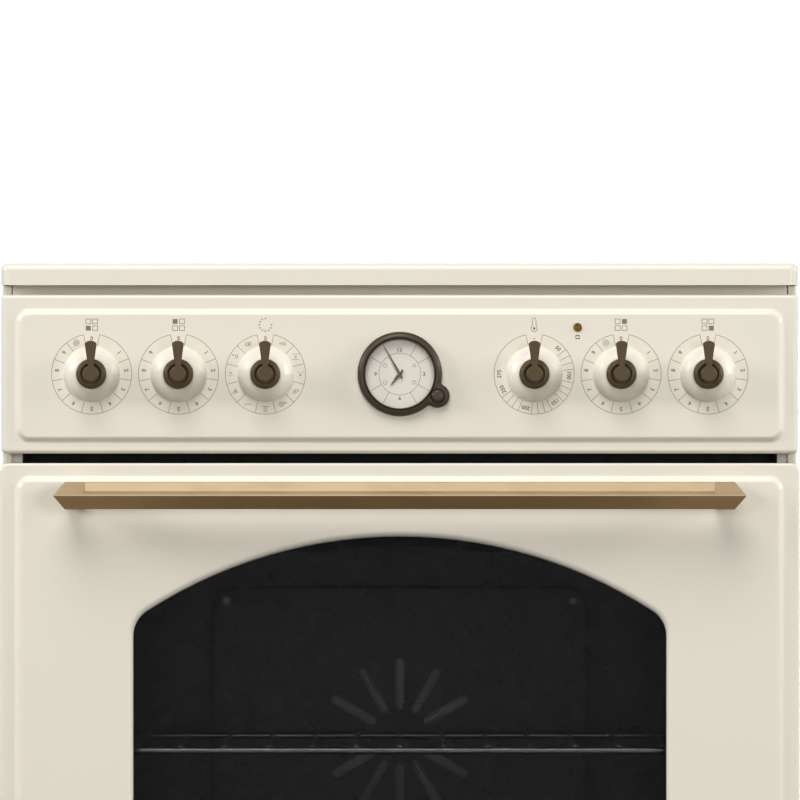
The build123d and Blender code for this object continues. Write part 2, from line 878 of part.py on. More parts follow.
def fan_cover():
    """Dished baffle in front of the fan, with radial slots to draw air in and open ends to blow it out."""
    outer = RectangleRounded(fan_cover_width, fan_cover_height, fan_cover_corner)
    cover = extrude(outer, amount=fan_cover_depth)
    cover = fillet(cover.faces().sort_by(Axis.Z)[-1].edges(), 2 * fan_cover_sheet)
    cover -= extrude(offset(outer, -fan_cover_sheet), amount=fan_cover_depth - fan_cover_sheet)
    slot_length = fan_slot_outer - fan_slot_inner
    slot = Pos((fan_slot_inner + fan_slot_outer) / 2, 0) * SlotOverall(slot_length, fan_slot_width)
    for n in range(fan_slots):
        cover -= extrude(Rot(0, 0, n * 360 / fan_slots) * slot, amount=2 * fan_cover_depth)
    outlet = Box(2 * fan_cover_width, fan_cover_height - 3 * fan_cover_corner, fan_cover_depth)
    return on_rear_wall(0, cavity_middle, cover - outlet)


def fan_impeller():
    """Radial fan on its shaft."""
    wheel = bore(fan_radius, fan_setback, fan_setback + fan_disc)
    wheel += bore(fan_hub_radius, fan_setback - fan_disc, fan_setback + fan_blade_height)
    blade = block(
        fan_hub_radius / 2, fan_radius - fan_disc, -fan_blade_sheet / 2, fan_blade_sheet / 2,
        fan_setback + fan_disc / 2, fan_setback + fan_blade_height - fan_disc / 2,
    )
    for n in range(fan_blades):
        wheel += Rot(0, 0, n * 360 / fan_blades) * blade
    wheel += bore(fan_shaft_radius, -cavity_sheet - fan_shaft_engagement, fan_setback)
    return on_rear_wall(0, cavity_middle, wheel)


def fan_motor():
    """Motor behind the muffle, with a bore for the fan's shaft."""
    motor = bore(motor_radius, -cavity_sheet - motor_length, -cavity_sheet)
    shaft_bore = bore(
        fan_shaft_radius + running_clearance, -cavity_sheet - fan_shaft_engagement, -cavity_sheet
    )
    return on_rear_wall(0, cavity_middle, motor - shaft_bore)


def oven_lamp():
    """Lamp with a domed glass cap on the rear wall."""
    cap = bore(lamp_radius + lamp_cap_lip, 0, lamp_dome)
    cap = fillet(cap.edges().sort_by(Axis.Z)[-1], lamp_cap_round)
    cap += bore(lamp_radius - lamp_hole_fit, -lamp_holder_length, 0)
    return on_rear_wall(-lamp_side, cavity_middle + lamp_rise, cap)


# Oven door

window_top = door_top - window_top_drop
window_bottom = window_top - window_height
liner_bottom = frame_bottom
liner_top = door_top - liner_top_margin
liner_rear = fascia + liner_setback + liner_depth


def window_outline(grow):
    """Window with an arched head, upright sides and rounded corners, grown all round."""
    half = window_width / 2 + grow
    radius = window_arch_radius + grow
    top = window_top + grow
    bottom = window_bottom - grow
    spring = top - radius + (radius**2 - half**2) ** 0.5
    head = ThreePointArc((-half, spring), (0, top), (half, spring))
    sides = Polyline((half, spring), (half, bottom), (-half, bottom), (-half, spring))
    outline = make_face([head, sides])
    return fillet(outline.vertices(), window_corner + grow)


def door_panel():
    """Pressed outer door with an arched window whose edge is rolled inwards."""
    panel = pressed_front(door_half_width, door_bottom, door_top, front_flange, door_corner, door_edge_round)
    inner_face = field + front_sheet
    lip = slab(window_outline(window_lip_width), inner_face, inner_face + window_lip_depth)
    panel = panel + lip - slab(window_outline(0), field, inner_face + window_lip_depth)
    rim = panel.edges().filter_by_position(Axis.Y, field, field)
    rim = rim.filter_by_position(Axis.X, -window_width / 2, window_width / 2)
    panel = fillet(rim.filter_by_position(Axis.Z, window_bottom, window_top), window_roll)
    for side in (-1, 1):
        arm = side * hinge_spread
        reach = hinge_arm_width / 2 + hinge_arm_gap
        panel -= block(
            arm - reach, arm + reach, hinge_y - hinge_ear_radius, fascia + front_flange,
            door_bottom, door_bottom + front_sheet,
        )
    return panel


def door_liner():
    """Inner door frame: a plate inside the outer door, with a channel that carries the inner glass."""
    plate_front = fascia + liner_setback
    opening_low = liner_bottom + liner_opening_margin
    opening_high = liner_top - liner_opening_margin
    opening = upright_rectangle(liner_opening_half_width, opening_low, opening_high, plate_corner)
    low = hinge_z + hinge_ear_radius + hinge_arm_gap
    plate = fitted_plate(door_half_width, door_bottom, door_top, door_corner, plate_front, liner_sheet)
    plate -= block(-door_half_width, door_half_width, plate_front, liner_rear, door_bottom, low)
    channel = upright_rectangle(liner_half_width, liner_bottom, liner_top, plate_corner)
    inside = offset(channel, -liner_sheet) - offset(opening, liner_sheet)
    ring = slab(channel, plate_front, liner_rear)
    ring -= slab(inside, plate_front + liner_sheet, liner_rear - liner_sheet)
    return plate + ring - slab(opening, plate_front, liner_rear)


def door_window_glass():
    start = field + front_sheet + window_lip_depth
    return slab(window_outline(window_glass_lap), start, start + window_glass_thickness)


def door_inner_glass():
    outline = upright_rectangle(
        liner_half_width - inner_glass_inset, liner_bottom + inner_glass_inset,
        liner_top - inner_glass_inset, plate_corner,
    )
    return slab(outline, liner_rear, liner_rear + inner_glass_thickness)


def hinge_knuckle(side):
    """Clevis on the door that turns on the hinge pin."""
    middle = side * hinge_spread
    inner = hinge_arm_width / 2 + hinge_arm_gap
    outer = inner + hinge_ear_width
    low = hinge_z + hinge_ear_radius + hinge_arm_gap / 2
    plate_front = fascia + liner_setback
    clevis = block(
        middle - outer, middle + outer, hinge_y - hinge_ear_radius, plate_front, low, low + hinge_riser
    )
    for start in (-outer, inner):
        ear_x0, ear_x1 = middle + start, middle + start + hinge_ear_width
        clevis += rod((ear_x0, hinge_y, hinge_z), (ear_x1, hinge_y, hinge_z), hinge_ear_radius)
        clevis += block(
            ear_x0, ear_x1, hinge_y - hinge_ear_radius, hinge_y + hinge_ear_radius, hinge_z, low
        )
    ends = (middle - outer, hinge_y, hinge_z), (middle + outer, hinge_y, hinge_z)
    return clevis - rod(*ends, hinge_pin_radius + running_clearance)


def hinge_bracket(side):
    """Arm under the front frame that carries the hinge pin."""
    middle = side * hinge_spread
    x0, x1 = middle - hinge_arm_width / 2, middle + hinge_arm_width / 2
    low, high = hinge_z - hinge_arm_height / 2, hinge_z + hinge_arm_height / 2
    foot_front = frame_rear + hinge_bracket_gap
    foot_rear = foot_front + hinge_bracket_depth
    bracket = block(x0, x1, hinge_y, foot_rear, low, high)
    bracket += block(x0, x1, foot_front, foot_rear, low, frame_bottom)
    bracket += rod((x0, hinge_y, hinge_z), (x1, hinge_y, hinge_z), hinge_ear_radius)
    half_pin = hinge_pin_length / 2
    return bracket + rod(
        (middle - half_pin, hinge_y, hinge_z), (middle + half_pin, hinge_y, hinge_z), hinge_pin_radius
    )


handle_z = door_top - handle_drop
handle_ridge = field - handle_gap - handle_depth
handle_back = field - handle_gap


def door_handle():
    """Three-sided bar whose ridge faces the front, with ends cut back and a post at each end."""
    half_height = handle_height / 2
    half_ridge = handle_length / 2
    half_back = half_ridge - handle_end_cut
    section = make_face(Polyline(
        (handle_back, handle_z - half_height), (handle_back, handle_z + half_height),
        (handle_ridge, handle_z), close=True,
    ))
    bar = extrude(Plane.YZ * section, amount=half_ridge, both=True)
    plan = make_face(Polyline(
        (-half_back, handle_back), (-half_ridge, handle_ridge),
        (half_ridge, handle_ridge), (half_back, handle_back), close=True,
    ))
    bar &= lies(plan, handle_z - half_height, handle_z + half_height)
    for side in (-1, 1):
        post_middle = side * (half_back - handle_post_length / 2)
        root = Pos(post_middle, handle_z) * Rectangle(handle_post_length, handle_height)
        foot = Pos(post_middle, handle_z) * Rectangle(
            handle_post_length - handle_post_taper, handle_height - handle_post_taper
        )
        bar += loft([facing(field) * foot, facing(handle_back) * root], ruled=True)
    return bar - handle_groove(half_back - handle_post_length)


def handle_groove(half_length):
    """Cutter for the shallow V groove along the handle's upper face."""
    half_height = handle_height / 2
    face_length = (handle_depth**2 + half_height**2) ** 0.5

    def on_face(share, rise):
        """Point at a share of the way from the back to the ridge, raised off the upper face."""
        y = handle_back - share * handle_depth - rise * half_height / face_length
        z = handle_z + (1 - share) * half_height + rise * handle_depth / face_length
        return (y, z)

    section = make_face(Polyline(
        on_face(handle_groove_start, 0), on_face(handle_groove_middle, -handle_groove_depth),
        on_face(handle_groove_end, 0), on_face(handle_groove_middle, handle_groove_depth), close=True,
    ))
    return extrude(Plane.YZ * section, amount=half_length, both=True)


# Drawer

drawer_box_bottom = base_clearance + drawer_box_lift
drawer_box_top = drawer_top - drawer_box_drop
drawer_plate_front = fascia + drawer_plate_setback
drawer_slide_x = drawer_box_half_width + drawer_slide_width


def drawer_front():
    return pressed_front(
        door_half_width, base_clearance, drawer_top, front_flange, door_corner, door_edge_round
    )


def drawer_box():
    """Open box with a plate that fits in the drawer front and a slide along each side."""
    box_front = drawer_plate_front
    box_rear = box_front + drawer_box_depth
    sheet = body_sheet
    half = drawer_box_half_width
    plate = fitted_plate(door_half_width, base_clearance, drawer_top, door_corner, box_front, sheet)
    tub = block(-half, half, box_front, box_rear, drawer_box_bottom, drawer_box_top)
    tub -= block(
        sheet - half, half - sheet, box_front + sheet, box_rear - sheet,
        drawer_box_bottom + sheet, drawer_box_top,
    )
    box = plate + tub
    for x0, x1 in ((-drawer_slide_x, -half), (half, drawer_slide_x)):
        box += block(x0, x1, frame_rear, box_rear, drawer_box_top - sheet, drawer_box_top)
    return box


def drawer_runner(side):
    """Fixed channel on the side panel in which the drawer's slide runs."""
    y0 = frame_rear + body_sheet
    y1 = back_plane - body_sheet
    shelf_top = drawer_box_top - body_sheet - rest_gap
    guide_bottom = drawer_box_top + rest_gap
    inner = drawer_box_half_width + rest_gap + runner_sheet
    web = drawer_slide_x + runner_web_gap
    profile = [
        (inner, side_inner, shelf_top - runner_sheet, shelf_top),
        (web, web + runner_sheet, shelf_top, guide_bottom + runner_guide_height),
        (inner, web, guide_bottom, guide_bottom + runner_sheet),
    ]
    runner = Part()
    for x0, x1, z0, z1 in profile:
        runner += block(*sorted((side * x0, side * x1)), y0, y1, z0, z1)
    return runner


# Body

def side_panel(side):
    """Side sheet with its front edge folded in, and back in two steps to the front frame."""
    lap_x = frame_half_width - frame_lap
    step_x = frame_half_width + step_gap
    step_front = fascia + step_setback
    side_top = worktop_bottom - side_top_gap
    fold_top = undertray_top - body_sheet - body_sheet
    folds = [
        (side_inner, half_width, post_front, back_plane, side_top),
        (post_inner, half_width, post_front, post_front + body_sheet, side_top),
        (post_inner, post_inner + body_sheet, post_front, step_front + body_sheet, worktop_seat),
        (step_x, post_inner + body_sheet, step_front, step_front + body_sheet, fold_top),
        (step_x, step_x + body_sheet, step_front, frame_rear + body_sheet, fold_top),
        (lap_x, step_x + body_sheet, frame_rear, frame_rear + body_sheet, fold_top),
    ]
    panel = Part()
    for x0, x1, y0, y1, top in folds:
        panel += block(*sorted((side * x0, side * x1)), y0, y1, base_top, top)
    for x, y, radius in (
        (half_width, post_front, side_bend),
        (side_inner, post_front + body_sheet, side_bend - body_sheet),
    ):
        upright = panel.edges().filter_by(Axis.Z)
        panel = fillet(edges_at(edges_at(upright, Axis.X, side * x), Axis.Y, y), radius)
    return panel


def back_panel():
    """Rear sheet with ventilation slots."""
    panel = block(
        -side_inner, side_inner, back_plane - body_sheet, back_plane, base_top, worktop_seat
    )
    slot = SlotOverall(louvre_length, louvre_height)
    top = height - louvre_drop
    for row in range(louvre_rows):
        for column in range(louvre_columns):
            x = (column - (louvre_columns - 1) / 2) * louvre_pitch_x
            z = top - row * louvre_pitch_z
            panel -= slab(Pos(x, z) * slot, back_plane - body_sheet, back_plane)
    return panel


foot_places = {
    "front_left": (-half_width + foot_inset_side, fascia + foot_inset_front),
    "front_right": (half_width - foot_inset_side, fascia + foot_inset_front),
    "rear_left": (-half_width + foot_inset_side, back - foot_inset_rear),
    "rear_right": (half_width - foot_inset_side, back - foot_inset_rear),
}


def base_frame():
    """Bottom sheet that carries the sides, with a bush for each foot's stud."""
    base = block(-half_width, half_width, post_front, back_plane, base_clearance, base_top)
    for x, y in foot_places.values():
        base += Pos(x, y) * bore(foot_bush_radius, base_clearance, base_top + foot_bush_height)
    for x, y in foot_places.values():
        base -= Pos(x, y) * bore(
            foot_stud_radius + foot_stud_fit, base_clearance, base_top + foot_bush_height
        )
    return base


def levelling_foot(x, y):
    """Moulded foot on a stud."""
    foot = turned([
        (0, 0),
        (foot_pad_radius, 0),
        (foot_pad_radius, foot_pad_height),
        (foot_top_radius, base_clearance),
        (foot_stud_radius, base_clearance),
        (foot_stud_radius, base_clearance + foot_stud_length),
        (0, base_clearance + foot_stud_length),
    ])
    return Pos(x, y) * foot


def terminal_cover():
    """Cover over the mains terminals, with a gland for the cable in its lower wall."""
    x0, x1 = terminal_side - terminal_width / 2, terminal_side + terminal_width / 2
    z0, z1 = terminal_lift, terminal_lift + terminal_height
    rear = back_plane + terminal_depth
    sheet = terminal_sheet
    cover = block(x0, x1, back_plane, rear, z0, z1)
    cover -= block(x0 + sheet, x1 - sheet, back_plane, rear - sheet, z0 + sheet, z1 - sheet)
    gland_y = back_plane + terminal_depth / 2
    gland = Pos(terminal_side, gland_y)
    cover += gland * bore(gland_radius + gland_wall, z0 - gland_length + sheet, z0 + sheet)
    return cover - gland * bore(gland_radius, z0 - gland_length + sheet, z0 + sheet)


def model():
    """Every piece by its node's name."""
    pieces = {
        "worktop_frame": worktop_frame(),
        "hob_glass": hob_glass(),
        "hob_gasket": hob_gasket(),
        "radiant_heaters": Compound([heater_dish(*zone) for zone in zones.values()]),
        "heater_ribbons": Compound([heater_ribbon(*zone) for zone in zones.values()]),
        "hob_undertray": hob_undertray(),
        "control_panel": control_panel(),
        "switch_rail": switch_rail(),
        "knob_collars": Compound([on_panel(x, control_row, knob_collar()) for x in knob_places.values()]),
    }
    for name, x in knob_places.items():
        pieces["knob_" + name] = Compound([on_panel(x, control_row, part) for part in (knob(), spindle())])
    regulators = [name for name in knob_places if name not in ("function", "thermostat")]
    pieces["hob_regulators"] = Compound([
        on_panel(knob_places[name], control_row, switch(switch_size, switch_length)) for name in regulators
    ])
    pieces["function_selector"] = on_panel(
        knob_places["function"], control_row, switch(selector_size, selector_length)
    )
    pieces["oven_thermostat"] = on_panel(
        knob_places["thermostat"], control_row, switch(thermostat_size, thermostat_length)
    )
    for maker in (clock_bezel, clock_dial, clock_lens, clock_movement, clock_hour_hand, clock_minute_hand):
        pieces[maker.__name__] = on_panel(0, control_row, maker())
    for maker in (clock_set_stem, clock_set_knob):
        pieces[maker.__name__] = on_panel(lug_x, control_row + lug_z, maker())
    pieces["indicator_lamp"] = on_panel(indicator_x, control_row + indicator_rise, indicator_lamp())
    pieces.update({
        "oven_cavity": oven_cavity(),
        "oven_front_frame": oven_front_frame(),
        "oven_insulation": oven_insulation(),
        "door_gasket": door_gasket(),
        "shelf_guide_left": shelf_guide(-1),
        "shelf_guide_right": shelf_guide(1),
        "wire_shelf": wire_shelf(),
        "baking_tray": baking_tray(),
        "grill_element": grill_element(),
        "ring_element": ring_element(),
        "fan_cover": fan_cover(),
        "fan_impeller": fan_impeller(),
        "fan_motor": fan_motor(),
        "oven_lamp": oven_lamp(),
        "door_panel": door_panel(),
        "door_liner": door_liner(),
        "door_window_glass": door_window_glass(),
        "door_inner_glass": door_inner_glass(),
        "door_handle": door_handle(),
        "door_hinge_knuckles": Compound([hinge_knuckle(side) for side in (-1, 1)]),
        "door_hinge_brackets": Compound([hinge_bracket(side) for side in (-1, 1)]),
        "drawer_front": drawer_front(),
        "drawer_box": drawer_box(),
        "drawer_runners": Compound([drawer_runner(side) for side in (-1, 1)]),
        "side_panel_left": side_panel(-1),
        "side_panel_right": side_panel(1),
        "back_panel": back_panel(),
        "base_frame": base_frame(),
        "terminal_cover": terminal_cover(),
    })
    for name, place in foot_places.items():
        pieces["foot_" + name] = levelling_foot(*place)
    return pieces


def main():
    os.makedirs("parts", exist_ok=True)
    for name, piece in model().items():
        export_step(piece, os.path.join("parts", name + ".step"))


main()
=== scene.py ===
"""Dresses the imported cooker: finishes, printed scales, fasteners, stage, light and camera."""

import json
from math import cos, pi, radians, sin

import bmesh
import bpy
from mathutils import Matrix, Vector

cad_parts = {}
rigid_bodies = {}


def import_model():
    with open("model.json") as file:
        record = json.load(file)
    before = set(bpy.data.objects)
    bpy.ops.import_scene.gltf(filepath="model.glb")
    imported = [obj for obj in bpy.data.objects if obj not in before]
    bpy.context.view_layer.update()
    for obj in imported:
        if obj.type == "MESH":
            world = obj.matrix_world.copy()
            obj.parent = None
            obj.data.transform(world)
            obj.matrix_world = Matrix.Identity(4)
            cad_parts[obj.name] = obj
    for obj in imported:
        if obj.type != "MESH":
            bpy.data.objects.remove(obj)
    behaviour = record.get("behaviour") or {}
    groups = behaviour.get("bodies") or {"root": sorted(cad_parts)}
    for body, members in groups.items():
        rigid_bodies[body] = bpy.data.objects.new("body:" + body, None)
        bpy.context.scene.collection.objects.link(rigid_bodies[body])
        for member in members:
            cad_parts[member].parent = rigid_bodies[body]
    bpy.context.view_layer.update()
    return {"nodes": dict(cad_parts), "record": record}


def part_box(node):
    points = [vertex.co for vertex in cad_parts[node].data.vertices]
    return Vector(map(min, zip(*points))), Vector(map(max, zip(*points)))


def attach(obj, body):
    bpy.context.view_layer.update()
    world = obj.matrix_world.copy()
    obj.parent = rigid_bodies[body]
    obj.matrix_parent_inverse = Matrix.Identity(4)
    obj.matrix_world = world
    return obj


for item in list(bpy.data.objects):
    bpy.data.objects.remove(item)

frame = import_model()
nodes = frame["nodes"]
record = frame["record"]

# Sizes of the prints, in metres, with the weight and width of letters as factors
mm = 0.001
print_depth = 0.1 * mm
print_weld = 0.0005 * mm
mitre_limit = 0.4
scale_radius = 30.05 * mm
scale_inner = 21.6 * mm
scale_line = 0.36 * mm
numeral_radius = 26.2 * mm
numeral_height = 3.2 * mm
numeral_weight = 0.026
off_radius = 26.8 * mm
dual_outer_ring = 2.1 * mm
dual_inner_ring = 0.9 * mm
heat_off_radius = 26.6 * mm
heat_off_dot = 0.55 * mm
sign_rise = 36.9 * mm
sign_line = 0.42 * mm
zone_square_offset = 2.55 * mm
zone_square_width = 3.7 * mm
zone_square_height = 3.6 * mm
selector_ring = 4.65 * mm
selector_dot = 0.56 * mm
thermometer_drop = 0.3 * mm
bulb_drop = 2.4 * mm
bulb_radius = 2.3 * mm
bulb_dot = 0.95 * mm
stem_rise = 4.1 * mm
stem_radius = 1.35 * mm
lamp_mark_drop = 7.3 * mm
lamp_mark_width = 2.9 * mm
lamp_mark_height = 2.4 * mm
lamp_mark_line = 0.4 * mm
lamp_band_rise = 1.05 * mm
lamp_band_width = 2.6 * mm
lamp_band_height = 0.7 * mm
function_sign_grid = 0.125 * mm
function_sign_line = 0.36 * mm
clock_ring = 15.7 * mm
clock_edge = 25.2 * mm
clock_line = 0.3 * mm
clock_numerals = 18.2 * mm
clock_numeral_height = 2.8 * mm
clock_numeral_width = 1.15
clock_numeral_weight = 0.022
clock_sign_across = 10.9 * mm
clock_sign_up = 6.4 * mm
clock_sign_grid = 0.1 * mm
clock_sign_line = 0.34 * mm
zone_border = 31 * mm
large_zone = 105 * mm
medium_zone = 90 * mm
small_zone = 72.5 * mm
inner_zone = 60 * mm
zone_line = 1.1 * mm
zone_fine_gap = 2.6 * mm
zone_fine_line = 0.4 * mm
inner_zone_line = 0.5 * mm
heat_light_pitch = 14 * mm
heat_light_border = 18 * mm
heat_light_radius = 2 * mm
frit_width = 30 * mm
frit_inset = 1.2 * frit_width

# Sizes of the screws and of the handle's softened edges, in metres
screw_radius = 3.6 * mm
screw_height = 2.2 * mm
screw_root = 0.1 * mm
screw_side = 0.45 * screw_height
screw_shoulder = 0.8 * screw_height
screw_shoulder_radius = 0.88 * screw_radius
screw_top_radius = 0.66 * screw_radius
recess_arm = 0.5 * screw_radius
recess_web = 0.13 * screw_radius
recess_floor = 0.4 * screw_height
cover_screw_border = 10 * mm
fan_screw_border = 12 * mm
liner_step = 0.5 * mm
drawer_sheet = 1.2 * mm
handle_round = 0.5 * mm
handle_weld = 0.002 * mm

# Screw places across and up, in millimetres
back_side_places = (-286, 286), (70, 260, 450, 640, 810)
back_edge_places = (-190, -60, 60, 190), (54, 822)
front_frame_places = (-262, 262), (300, 470, 640)
door_liner_places = (-284, 284), (300, 480, 660)
drawer_places = (-272, 272), (70, 140, 210)

# Angles in degrees, on a dial clockwise from the top
hob_gap = 11.4
hob_lines = [67.5, 99, 131, 163.5, 195, 228, 260, 291.5]
hob_dual_line = 321
hob_numerals = [52, 84, 116, 148, 180, 212, 244, 276, 308]
hob_dual_place = 334
oven_gap = 12
function_step = 30
selector_start = 90
selector_step = 30
hour_step = 30
heat_numerals = {"50": 43, "100": 93, "150": 143.5, "200": 194, "250": 244, "275": 270}
heat_lines = [52, 62.5, 73, 83, 103, 113, 123, 133, 154, 164, 174, 184, 204, 214, 224, 234]
recess_slant = 14.5
sharp_angle = 35

# Each hob knob's zone, as column and row, and whether the zone has an inner ring
hob_knobs = {
    "knob_front_left": ((-1, -1), True),
    "knob_rear_left": ((-1, 1), False),
    "knob_rear_right": ((1, 1), True),
    "knob_front_right": ((1, -1), False),
}

# Studio, in metres, with powers in watts and the camera's lens and sensor in millimetres
panel_middle = (0, -0.28, 0.72)
back_middle = (0, 0.3, 0.5)
lamps = {
    "key": {"place": (-0.5, -2.6, 3.9), "aim": panel_middle, "size": 2.6, "power": 98},
    "left": {"place": (-3.8, -1.5, 2.2), "aim": panel_middle, "size": 1.4, "power": 77},
    "right": {"place": (3.9, -1.0, 1.7), "aim": panel_middle, "size": 1.5, "power": 80},
    "front_left": {"place": (-2.0, -5.4, 1.1), "aim": panel_middle, "size": 1.6, "power": 36},
    "front_right": {"place": (2.0, -5.4, 1.1), "aim": panel_middle, "size": 1.6, "power": 60},
    "rear": {"place": (1.4, 3.5, 0.55), "aim": back_middle, "size": 1.0, "power": 38},
}
ambient = 0.03
floor_bounce = 0.06
floor_radius = 60
floor_drop = 0.2 * mm
fade_start = 1.5
fade_end = 4.5
camera_sensor = 36
camera_lens = 420
camera_distance = 7
camera_side = 0.15 * mm
camera_height = 0.7478
camera_range = 100

# Places read from the frame
panel_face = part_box("control_panel")[0].y
dial_low, dial_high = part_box("clock_dial")
dial_face = dial_low.y
control_row = (dial_low.z + dial_high.z) / 2
hob_low, hob_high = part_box("hob_glass")
hob_top = hob_high.z
inner_glass_low, inner_glass_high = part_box("door_inner_glass")
cover_low, cover_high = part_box("terminal_cover")
fan_low, fan_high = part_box("fan_cover")
back_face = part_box("back_panel")[1].y
frame_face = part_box("door_gasket")[1].y
liner_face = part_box("door_panel")[1].y - liner_step
drawer_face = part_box("drawer_box")[0].y + drawer_sheet
worktop_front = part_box("worktop_frame")[0].y


def middle(node):
    low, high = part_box(node)
    return (low + high) / 2


# Finishes

def linear(level):
    """The light of a screen value from 0 to 255."""
    level = level / 255
    return level / 12.92 if level <= 0.04045 else ((level + 0.055) / 1.055) ** 2.4


def colour(red, green, blue):
    """A colour by its screen values, as the shader takes it."""
    return (linear(red), linear(green), linear(blue), 1)


def shade(tint, factor):
    return tuple(min(1, part * factor) for part in tint[:3]) + (1,)


class Finish:
    """One procedural material, with its shader and what varies over it."""

    def __init__(self, name, **values):
        self.name = name
        self.material = bpy.data.materials.new(name)
        self.material.use_nodes = True
        self.tree = self.material.node_tree
        self.shader = self.tree.nodes["Principled BSDF"]
        self.place = self.tree.nodes.new("ShaderNodeTexCoord").outputs["Object"]
        for socket, value in values.items():
            self.shader.inputs[socket.replace("_", " ")].default_value = value

    def node(self, kind, settings=None, **inputs):
        made = self.tree.nodes.new("ShaderNode" + kind)
        for name, value in (settings or {}).items():
            setattr(made, name, value)
        for name, value in inputs.items():
            self.feed(made.inputs[name.replace("_", " ")], value)
        return made

    def feed(self, socket, value):
        if isinstance(value, bpy.types.NodeSocket):
            self.tree.links.new(value, socket)
        else:
            socket.default_value = value

    def noise(self, scale, detail=3.0, stretch=None):
        place = self.place
        if stretch:
            place = self.node("Mapping", Vector=place, Scale=stretch).outputs[0]
        return self.node("TexNoise", Vector=place, Scale=scale, Detail=detail).outputs["Fac"]

    def cells(self, scale):
        return self.node("TexVoronoi", Vector=self.place, Scale=scale).outputs["Distance"]

    def spread(self, value, low, high, start=0.3, end=0.7):
        """Takes a value between start and end to one between low and high."""
        made = self.node("MapRange", From_Min=start, From_Max=end, To_Min=low, To_Max=high)
        self.feed(made.inputs["Value"], value)
        return made.outputs[0]

    def mix(self, factor, first, second):
        made = self.node("Mix", {"data_type": "RGBA"})
        self.feed(made.inputs[0], factor)
        self.feed(made.inputs[6], first)
        self.feed(made.inputs[7], second)
        return made.outputs[2]

    def paint(self, value):
        self.feed(self.shader.inputs["Base Color"], value)

    def rough(self, value, low, high):
        self.feed(self.shader.inputs["Roughness"], self.spread(value, low, high))

    def bump(self, height, strength, depth):
        made = self.node("Bump", Height=height, Strength=strength, Distance=depth)
        self.feed(self.shader.inputs["Normal"], made.outputs[0])


def enamel(name, tint, low, high):
    """Smooth enamel, with a trace of orange peel."""
    made = Finish(name, Coat_Weight=0.12, Coat_Roughness=0.12)
    made.paint(made.mix(made.noise(6), shade(tint, 0.985), shade(tint, 1.01)))
    made.rough(made.noise(40), low, high)
    made.bump(made.noise(700, detail=2), strength=0.03, depth=0.2 * mm)
    return made


def speckled(name, tint, dot):
    """Oven enamel: dark, with fine pale specks."""
    made = Finish(name, Coat_Weight=0.4, Coat_Roughness=0.08)
    specks = made.spread(made.cells(420), 1, 0, start=0.1, end=0.2)
    patches = made.spread(made.noise(260), 0, 1, start=0.5, end=0.62)
    both = made.node("Math", {"operation": "MULTIPLY"})
    made.feed(both.inputs[0], specks)
    made.feed(both.inputs[1], patches)
    made.paint(made.mix(both.outputs[0], tint, dot))
    made.rough(made.noise(60), 0.2, 0.32)
    made.bump(made.noise(500), strength=0.06, depth=0.2 * mm)
    return made


def satin_metal(name, tint, metallic, low, high, grain=420, stretch=None, sheen=0.5):
    """Metal or bronze lacquer with a fine grain, which can be drawn out in one direction."""
    made = Finish(name, Metallic=metallic, Specular_IOR_Level=sheen)
    flakes = made.noise(grain, detail=4, stretch=stretch)
    made.paint(made.mix(flakes, shade(tint, 0.86), shade(tint, 1.12)))
    made.rough(made.noise(90, stretch=stretch), low, high)
    made.bump(flakes, strength=0.04, depth=0.1 * mm)
    return made


def aged_brass(name):
    """Drawn brass: bright where it faces up, and painted a darker, browner tone as painted shade
    where it faces downward.
    """
    made = Finish(name, Metallic=0.6)
    drawn = made.noise(120, detail=4, stretch=(0.18, 1, 1))
    mottle = made.noise(55, stretch=(0.5, 1, 1))
    bright = made.mix(drawn, colour(164, 141, 109), colour(180, 158, 126))
    # Painted shade: a darker, browner brass for the faces turned downward, in place of the shade
    # that falls there
    painted_shade_tone = made.mix(mottle, colour(136, 109, 70), colour(150, 122, 82))
    normal = made.node("NewGeometry").outputs["Normal"]
    facing = made.node("SeparateXYZ", Vector=normal).outputs["Z"]
    # How far a face turns downward, which sets how much painted shade it takes
    shade_below = made.spread(facing, 1, 0, start=-0.35, end=0.1)
    stains = made.spread(made.noise(70, stretch=(0.4, 1, 1)), 0, 0.3, start=0.48, end=0.75)
    worn = made.mix(stains, bright, colour(150, 124, 84))
    made.paint(made.mix(shade_below, worn, painted_shade_tone))
    made.rough(drawn, 0.38, 0.5)
    made.bump(drawn, strength=0.03, depth=0.1 * mm)
    return made


def galvanised(name):
    """Zinc-coated sheet, with its crystal spangle."""
    made = Finish(name, Metallic=0.9)
    spangle = made.node("TexVoronoi", Vector=made.place, Scale=130)
    grey = made.node("RGBToBW", Color=spangle.outputs["Color"]).outputs[0]
    made.paint(made.mix(grey, colour(174, 178, 181), colour(188, 191, 194)))
    made.rough(grey, 0.36, 0.44)
    made.bump(made.noise(300), strength=0.05, depth=0.2 * mm)
    return made


def glass(name, tint, alpha, edge, sheen=0.5):
    """Sheet glass: clear from in front, more of a mirror at a slant."""
    made = Finish(name, Base_Color=tint, Specular_IOR_Level=sheen, Coat_Weight=0.4 * sheen,
                  Coat_Roughness=0.02)
    slant = made.node("LayerWeight", Blend=0.35).outputs["Facing"]
    made.feed(made.shader.inputs["Alpha"], made.spread(slant, alpha, edge, start=0.2, end=0.95))
    made.rough(made.noise(25), 0.03, 0.06)
    return made


def black_glass(name):
    """Glass ceramic: black, with a very fine grey fleck."""
    made = Finish(name, Specular_IOR_Level=0.22)
    fleck = made.spread(made.cells(900), 1, 0, start=0.08, end=0.2)
    made.paint(made.mix(fleck, colour(8, 8, 9), colour(36, 36, 38)))
    made.rough(made.noise(30), 0.06, 0.1)
    return made


def moulded(name, tint, low=0.42, high=0.58, grain=900, sheen=0.5):
    """Matt plastic, rubber or paper, with a fine grain."""
    made = Finish(name, Specular_IOR_Level=sheen)
    made.paint(made.mix(made.noise(30), shade(tint, 0.93), shade(tint, 1.07)))
    made.rough(made.noise(120), low, high)
    made.bump(made.noise(grain, detail=2), strength=0.12, depth=0.2 * mm)
    return made


